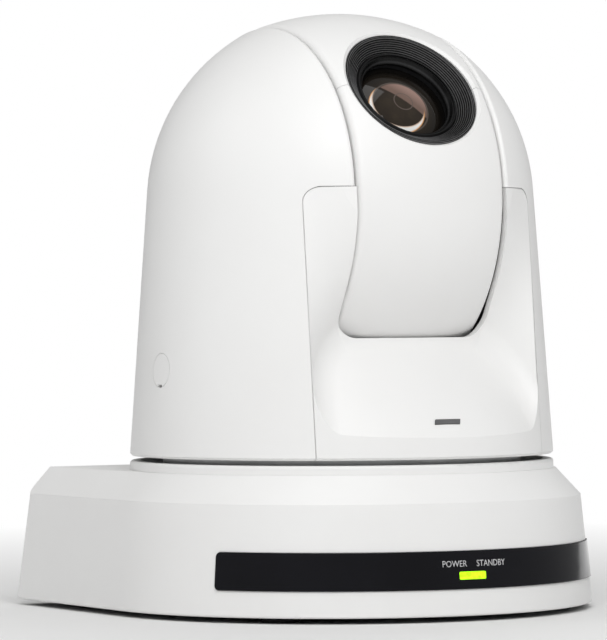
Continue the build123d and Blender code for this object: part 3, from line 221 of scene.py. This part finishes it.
def black_gloss(name):
    """Smoked glossy window plastic, which infrared light passes."""
    s = Shade(name)
    s.set(Base_Color=s.colours(s.noise(30, 2), (0.0035, 0.0035, 0.005), (0.006, 0.006, 0.0085)))
    s.set(Roughness=s.span(s.noise(110, 5, 0.65), 0.045, 0.11))
    s.set(IOR=1.4)
    s.set(Normal=s.bump(s.noise(55, 2), 0.02 * MM, 0.25, s.soft_edge(0.3 * MM)))
    return s.material


def grey_plastic(name, dark=(0.1, 0.1, 0.102), light=(0.13, 0.13, 0.132)):
    s = Shade(name)
    s.set(Base_Color=s.colours(s.noise(120, 4), dark, light))
    s.set(Roughness=s.span(s.noise(400, 3), 0.45, 0.6))
    s.set(Normal=s.bump(s.noise(3000, 2), 0.01 * MM, 0.7, s.soft_edge(0.2 * MM)))
    return s.material


def rubber(name):
    s = Shade(name)
    dust = s.noise(260, 6, 0.7)
    s.set(Base_Color=s.colours(dust, (0.012, 0.012, 0.012), (0.03, 0.029, 0.028), 0.35, 0.8))
    s.set(Roughness=s.span(dust, 0.68, 0.86))
    s.set(Normal=s.bump(s.cells(1800), 0.02 * MM))
    return s.material


def metal(name, dark, light, rough, scale=(1, 1, 1)):
    """Machined or plated metal: its grain runs along the axis that scale stretches least."""
    s = Shade(name)
    s.set(Base_Color=s.colours(s.noise(70, 4), dark, light))
    s.set(Metallic=1.0)
    grain = s.noise(900, 3, 0.6, s.stretched(scale))
    s.set(Roughness=s.span(grain, *rough))
    s.set(Normal=s.bump(grain, 0.006 * MM, 0.6, s.soft_edge(0.12 * MM)))
    return s.material


def circuit_board(name):
    """Green solder mask, with copper runs just showing through it."""
    s = Shade(name)
    runs = s.wave(180, "DIAGONAL", 1.5)
    s.set(Base_Color=s.colours(runs, (0.008, 0.07, 0.022), (0.016, 0.13, 0.042), 0.45, 0.55))
    s.set(Roughness=s.span(s.noise(500, 3), 0.28, 0.42))
    s.set(Normal=s.bump(runs, 0.03 * MM))
    return s.material


def nylon(name):
    s = Shade(name)
    s.set(Base_Color=s.colours(s.noise(50, 3), (0.66, 0.62, 0.53), (0.74, 0.71, 0.62)))
    s.set(Roughness=s.span(s.noise(350, 3), 0.4, 0.55))
    s.set(Normal=s.bump(s.noise(1500, 3), 0.01 * MM, 0.5, s.soft_edge(0.15 * MM)))
    return s.material


def belt_rubber(name):
    """Belt rubber, with the fine ribs of the fabric in it."""
    s = Shade(name)
    fabric = s.wave(900, "Z")
    s.set(Base_Color=s.colours(fabric, (0.014, 0.014, 0.014), (0.03, 0.03, 0.03), 0.2, 0.8))
    s.set(Roughness=s.span(s.noise(700, 3), 0.6, 0.78))
    s.set(Normal=s.bump(fabric, 0.04 * MM, 0.6))
    return s.material


def lit_lamp(name):
    """A frosted light pipe, lit yellow-green."""
    s = Shade(name)
    frosted = s.noise(700, 3)
    green = s.colours(frosted, (0.30, 0.82, 0.0), (0.47, 1.0, 0.01))
    s.set(Base_Color=green)
    s.set(Roughness=s.span(frosted, 0.25, 0.4))
    s.set(Emission_Color=green)
    s.set(Emission_Strength=1.1)
    return s.material


def coated_glass(name, coat, clear=(0.97, 0.965, 0.95)):
    """Coated glass: it shows what is behind it, and mirrors in the coating's colour."""
    s = Shade(name)
    s.tree.nodes.remove(s.bsdf)
    through = s.new("ShaderNodeBsdfTransparent")
    through.inputs["Color"].default_value = (*clear, 1)
    mirror = s.new("ShaderNodeBsdfGlossy")
    s.feed(mirror.inputs["Color"], s.colours(s.noise(40, 2), [part * 0.9 for part in coat], coat))
    mirror.inputs["Roughness"].default_value = 0.012
    edge = s.new("ShaderNodeFresnel")
    edge.inputs["IOR"].default_value = 1.5
    share = s.span(edge.outputs["Fac"], 0.4, 0.8, 0.04, 0.6)
    s.show_mix(share, through.outputs["BSDF"], mirror.outputs["BSDF"])
    return s.material


FINISH = {
    "white_plastic": white_plastic("satin_white"),
    "black_gloss": black_gloss("smoked_window"),
    "black_plastic": black_plastic("black_moulding"),
    "grey_plastic": grey_plastic("grey_moulding"),
    "rubber": rubber("foot_rubber"),
    "steel": metal("ground_steel", (0.48, 0.48, 0.47), (0.62, 0.62, 0.61), (0.2, 0.36), (1, 1, 12)),
    "zinc": metal("zinc_plate", (0.52, 0.53, 0.55), (0.66, 0.67, 0.68), (0.28, 0.42)),
    "brass": metal("turned_brass", (0.62, 0.42, 0.16), (0.78, 0.56, 0.24), (0.22, 0.36), (1, 1, 14)),
    "aluminium": metal("milled_aluminium", (0.6, 0.605, 0.61), (0.74, 0.745, 0.75), (0.3, 0.46), (1, 9, 1)),
    "glass": coated_glass("coated_glass", (0.10, 0.08, 0.07), (0.97, 0.96, 0.94)),
    "amber_lens": lit_lamp("lit_status"),
    "pcb": circuit_board("solder_mask"),
    "nylon": nylon("natural_nylon"),
    "belt": belt_rubber("belt_rubber"),
}


# ---------------------------------------------------------------- materials about the lens axis
SIDEWAYS = Vector((1, 0, 0))
LENS_OUT = Vector(JOINTS["zoom"]["axis"])
LENS_UP = LENS_OUT.cross(SIDEWAYS)
TILT_CENTRE = Vector(JOINTS["tilt"]["pos_m"])
HOOD_RINGS = (17.4, 22.29)  # radii between which the turned rings lie, in millimetres
RETAINER_RINGS = (13.8, 16.15)
BARREL_RINGS = (15.2, 17.2)


def lens_rings(name, radii, count, crest_highlight, rough, valley=0.002):
    """Black with turned rings about the lens axis, with painted highlights in pale grey on their crests."""
    s = Shade(name)
    first, last = (radius * MM for radius in radii)
    away = s.vector("SUBTRACT", s.place, TILT_CENTRE)
    reach = s.vector("LENGTH", s.vector("CROSS_PRODUCT", away, LENS_OUT), result="Value")
    across_ring = s.number("FRACT", s.span(reach, 0.0, float(count), first, last))
    from_crest = s.number("PINGPONG", across_ring, 0.5)
    wear_and_highlight = s.noise(900, 3)
    # Painted highlight: the crests lighter, thinned in places by the noise that also varies the roughness.
    painted_highlight = s.number("MULTIPLY", s.span(from_crest, 1.0, 0.0, 0.04, 0.24), s.span(wear_and_highlight, 0.75, 1.0))
    s.set(Base_Color=s.colours(painted_highlight, [valley] * 3, crest_highlight, 0.0, 1.0))
    s.set(Roughness=s.span(wear_and_highlight, *rough))
    s.set(IOR=1.28)
    s.set(Normal=s.bump(s.noise(2500, 2), 0.006 * MM))
    return s.material


class LensFace(Shade):
    """A Principled material drawn as seen along the lens axis: millimetres, x to the side and y up."""

    SLANT = (math.sqrt(0.5), math.sqrt(0.5), 0)
    SOFT = 0.25  # half the width over which an edge fades
    SHARP = 0.12

    def __init__(self, name):
        super().__init__(name)
        away = self.vector("SUBTRACT", self.place, TILT_CENTRE)
        across = self.new("ShaderNodeCombineXYZ")
        for socket, axis in (("X", SIDEWAYS), ("Y", LENS_UP)):
            self.feed(across.inputs[socket], self.vector("DOT_PRODUCT", away, axis, "Value"))
        self.across = across.outputs["Vector"]

    def reach(self, spot):
        """The distance from a spot."""
        return self.vector("DISTANCE", self.across, (spot[0] * MM, spot[1] * MM, 0), "Value")

    def inside(self, spot, radius, soft=SOFT):
        return self.span(self.reach(spot), 1.0, 0.0, (radius - soft) * MM, (radius + soft) * MM)

    def outside(self, spot, radius, soft=SOFT):
        return self.span(self.reach(spot), 0.0, 1.0, (radius - soft) * MM, (radius + soft) * MM)

    def thin_ring(self, under, colour, spot, radius, width):
        inner_edge = self.outside(spot, radius, self.SHARP)
        outer_edge = self.inside(spot, radius + width, self.SHARP)
        return self.over(under, colour, outer_edge, inner_edge)

    def slant(self):
        """The distance along the upward slant across the lens."""
        return self.vector("DOT_PRODUCT", self.across, self.SLANT, "Value")


def lens_with_painted_reflections(name):
    """The coated front element, with painted shade for its depth and painted reflections of the soft shapes
    that its inner surfaces give back.
    """
    # Middles and radii of the painted shade, the painted reflections and the painted highlight.
    bowl, bowl_r = (-2.5, -3.0), 9.0
    small_bowl, small_bowl_r = (-1.4, -1.6), 3.0
    glare, glare_r = (-3.9, -3.5), 9.3
    glare_cut, glare_cut_r = (-2.9, -2.0), 8.7
    depth_shade_middle, depth_shade_start, depth_shade_end = (-3.0, -3.5), 4.0, 14.5
    s = LensFace(name)
    mist_and_shade = s.noise(260, 3, 0.6)
    # Painted shade: brown about the middle of the depth, black further out, and darker in the bowl.
    brown, black = (0.040, 0.030, 0.020), (0.004, 0.0035, 0.003)
    look = s.colours(s.reach(depth_shade_middle), brown, black, depth_shade_start * MM, depth_shade_end * MM)
    look = s.over(look, (0.016, 0.012, 0.010, 1), s.inside(bowl, bowl_r + 0.4), s.span(mist_and_shade, 0.2, 0.6))

    # Painted reflections: the warm half moon of the coating, and the edges of two inner elements.
    half_moon_reflection = s.colours(s.slant(), (0.16, 0.105, 0.085), (0.33, 0.215, 0.18), 0.0, 5.0 * MM)
    beyond = s.span(s.slant(), 0.0, 1.0, -1.75 * MM, -1.35 * MM)
    look = s.over(look, half_moon_reflection, s.inside(bowl, bowl_r), beyond)
    look = s.thin_ring(look, (0.085, 0.07, 0.06, 1), bowl, bowl_r + 0.1, 0.5)
    look = s.thin_ring(look, (0.11, 0.085, 0.075, 1), small_bowl, small_bowl_r, 0.3)

    # A painted highlight: a bright crescent with an amber rim.
    rim_masks = s.inside(glare, glare_r, s.SHARP), s.outside(glare_cut, glare_cut_r, 0.2)
    look = s.over(look, (0.62, 0.30, 0.10, 1), *rim_masks)
    core_masks = s.inside(glare, glare_r - 0.3, 0.2), s.outside(glare_cut, glare_cut_r + 0.1, 0.3)
    look = s.over(look, (0.80, 0.80, 0.78, 1), *core_masks)
    s.set(Base_Color=look)
    s.set(Roughness=s.span(mist_and_shade, 0.02, 0.05))
    s.set(IOR=1.42)
    return s.material


OWN_FINISH = {
    # The rings' lighter crests are painted highlights.
    "lens_hood": lens_rings("hood_rings", HOOD_RINGS, 9, (0.17, 0.17, 0.172), (0.3, 0.42), 0.001),
    "retaining_ring": lens_rings("retainer_black", RETAINER_RINGS, 2, (0.03, 0.03, 0.031), (0.25, 0.36)),
    "lens_barrel": lens_rings("barrel_black", BARREL_RINGS, 3, (0.02, 0.02, 0.021), (0.3, 0.44)),
    # The front element's colour is painted shade and painted reflections.
    "front_element": lens_with_painted_reflections("front_painted_reflections"),
    "zoom_element": coated_glass("zoom_coating", (0.34, 0.22, 0.19)),
    "focus_element": coated_glass("focus_coating", (0.12, 0.10, 0.2)),
    "ir_cut_filter": coated_glass("infrared_coating", (0.3, 0.1, 0.09), (0.75, 0.92, 0.90)),
}

for node in NODES.values():
    for spot in node.material_slots:
        spot.material = FINISH[spot.material.name.split(".")[0]]
for name, finish in OWN_FINISH.items():
    NODES[name].material_slots[0].material = finish


# ---------------------------------------------------------------- printed marks
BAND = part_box("window_band")
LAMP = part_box("status_lamp")
LAMP_X = (LAMP[0].x + LAMP[1].x) / 2
BASE_R, SHOULDER_R, SHOULDER_Z = 80.0, 76.5, 34.4  # of the wall that the band lies on, in millimetres
WALL_LEAN = (BASE_R - SHOULDER_R) / SHOULDER_Z
INK_T = 0.04 * MM
INK_FINISH = grey_plastic("pale_ink", (0.54, 0.54, 0.55), (0.62, 0.62, 0.63))
LEGEND_H = 1.95 * MM
LEGEND_RISE = 2.4 * MM  # from the lamp's top to the middle of the words
SIZE_TO_H = 1.4  # the size that gives capitals a height of 1
NARROWING = 0.9
WELD = 1e-7


def band_radius(z):
    """The band's outer radius at height z: it leans back with the base's wall."""
    return -BAND[0].y - WALL_LEAN * (z - BAND[0].z)


def ink(name, words, x):
    """Words printed on the curved band above the lamp, as a thin closed skin of ink."""
    curve = bpy.data.curves.new(name, "FONT")
    curve.body = words
    curve.size = LEGEND_H * SIZE_TO_H
    curve.align_x = "CENTER"
    curve.align_y = "CENTER"
    curve.extrude = INK_T
    curve.resolution_u = 3
    flat = bpy.data.objects.new(name + "_flat", curve)
    data = bpy.data.meshes.new_from_object(flat)
    bpy.data.objects.remove(flat)
    data.materials.clear()
    middle = LAMP[1].z + LEGEND_RISE
    bm = bmesh.new()
    bm.from_mesh(data)
    bmesh.ops.remove_doubles(bm, verts=bm.verts, dist=WELD)
    for v in bm.verts:
        level = middle + v.co.y
        reach = band_radius(level) + v.co.z
        turn = (x + v.co.x * NARROWING) / band_radius(middle)
        v.co = Vector((reach * math.sin(turn), -reach * math.cos(turn), level))
    bmesh.ops.recalc_face_normals(bm, faces=bm.faces)
    bm.to_mesh(data)
    bm.free()
    piece = mesh_piece(name, data, INK_FINISH)
    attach(piece, "base")


ink("power_legend", "POWER", LAMP_X - 6.2 * MM)
ink("standby_legend", "STANDBY", LAMP_X + 6.9 * MM)


# ---------------------------------------------------------------- camera
FOCAL_LENGTH = 246.7
VIEW_TURN = Matrix.Rotation(math.radians(-31), 3, "Z")
EYE_SPOT = Vector((-0.7253, -1.2071, 0.09465))
AIM = Vector((-0.0085, 1, -0.003))  # in the view's turn, so nearly straight ahead
LEVEL = Vector((1, 0, -0.0061))


def make_camera():
    forward = (VIEW_TURN @ AIM).normalized()
    right = VIEW_TURN @ LEVEL
    right = (right - right.dot(forward) * forward).normalized()
    up = right.cross(forward)
    lens = bpy.data.cameras.new("photo_lens")
    lens.lens = FOCAL_LENGTH
    lens.sensor_width = 36
    lens.clip_start = 0.01
    lens.clip_end = 60
    eye = bpy.data.objects.new("photo_camera", lens)
    SCENE.collection.objects.link(eye)
    turn = Matrix((right, up, -forward)).transposed().to_4x4()
    eye.matrix_world = Matrix.Translation(EYE_SPOT) @ turn
    SCENE.camera = eye


make_camera()


# ---------------------------------------------------------------- floor
FLOOR_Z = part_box("rubber_feet")[0].z
FLOOR_R = 14.0
FLOOR_FADE = (0.1, 0.55)  # from this distance to this one, it turns into the backdrop


def floor_finish():
    """Pale matt floor, which turns as bright as the backdrop far away."""
    s = Shade("pale_floor")
    s.set(Base_Color=s.colours(s.noise(3, 4), (0.78, 0.78, 0.775), (0.82, 0.82, 0.815)))
    s.set(Roughness=s.span(s.noise(20, 3), 0.75, 0.9))
    glow = s.new("ShaderNodeEmission")
    glow.inputs["Color"].default_value = WHITE
    far = s.span(s.vector("LENGTH", s.place, result="Value"), 0.0, 1.0, *FLOOR_FADE)
    s.show_mix(far, s.bsdf.outputs["BSDF"], glow.outputs["Emission"])
    return s.material


def make_floor():
    bm = bmesh.new()
    bmesh.ops.create_circle(bm, cap_ends=True, segments=96, radius=FLOOR_R)
    data = bpy.data.meshes.new("floor")
    bm.to_mesh(data)
    bm.free()
    piece = mesh_piece("floor", data, floor_finish())
    piece.location.z = FLOOR_Z


make_floor()


# ---------------------------------------------------------------- light
BACKDROP = 1.0
FILL = 0.27
TARGET = Vector((0, 0, 0.1))


def make_world():
    """A white backdrop, which lights the object less brightly than it looks."""
    world = bpy.data.worlds.new("studio")
    world.use_nodes = True
    SCENE.world = world
    nodes, links = world.node_tree.nodes, world.node_tree.links
    backdrop = nodes["Background"]
    fill = nodes.new("ShaderNodeBackground")
    for light, strength in ((backdrop, BACKDROP), (fill, FILL)):
        light.inputs["Color"].default_value = WHITE
        light.inputs["Strength"].default_value = strength
    seen = nodes.new("ShaderNodeLightPath")
    choose = nodes.new("ShaderNodeMixShader")
    links.new(seen.outputs["Is Camera Ray"], choose.inputs[0])
    links.new(fill.outputs["Background"], choose.inputs[1])
    links.new(backdrop.outputs["Background"], choose.inputs[2])
    links.new(choose.outputs["Shader"], nodes["World Output"].inputs["Surface"])


def softbox(name, azimuth, elevation, distance, width, height, power, mirrored=True):
    """A rectangular light; azimuth 0 is at the camera's side of the object, and positive is to its right."""
    a, e = math.radians(azimuth), math.radians(elevation)
    way = VIEW_TURN @ Vector((math.sin(a) * math.cos(e), -math.cos(a) * math.cos(e), math.sin(e)))
    light = bpy.data.lights.new(name, "AREA")
    light.shape = "RECTANGLE"
    light.size = width
    light.size_y = height
    light.energy = power
    box = bpy.data.objects.new(name, light)
    SCENE.collection.objects.link(box)
    turn = way.to_track_quat("Z", "Y").to_matrix().to_4x4()
    box.matrix_world = Matrix.Translation(TARGET + way * distance) @ turn
    box.visible_glossy = mirrored


make_world()
softbox("key_box", 6, 40, 1.6, 1.0, 1.0, 14.5)
softbox("top_box", -20, 80, 1.5, 0.9, 0.9, 3.5)
softbox("left_box", -80, 25, 1.6, 0.7, 1.1, 2.0)
softbox("right_strip", 95, 30, 1.5, 0.25, 0.9, 1.6, mirrored=False)
softbox("front_fill", 4, 6, 1.9, 1.0, 1.0, 1.5, mirrored=False)
softbox("back_fill", 170, 38, 1.8, 1.0, 1.0, 5.5, mirrored=False)

SCENE.view_settings.view_transform = "Standard"
SCENE.view_settings.look = "None"
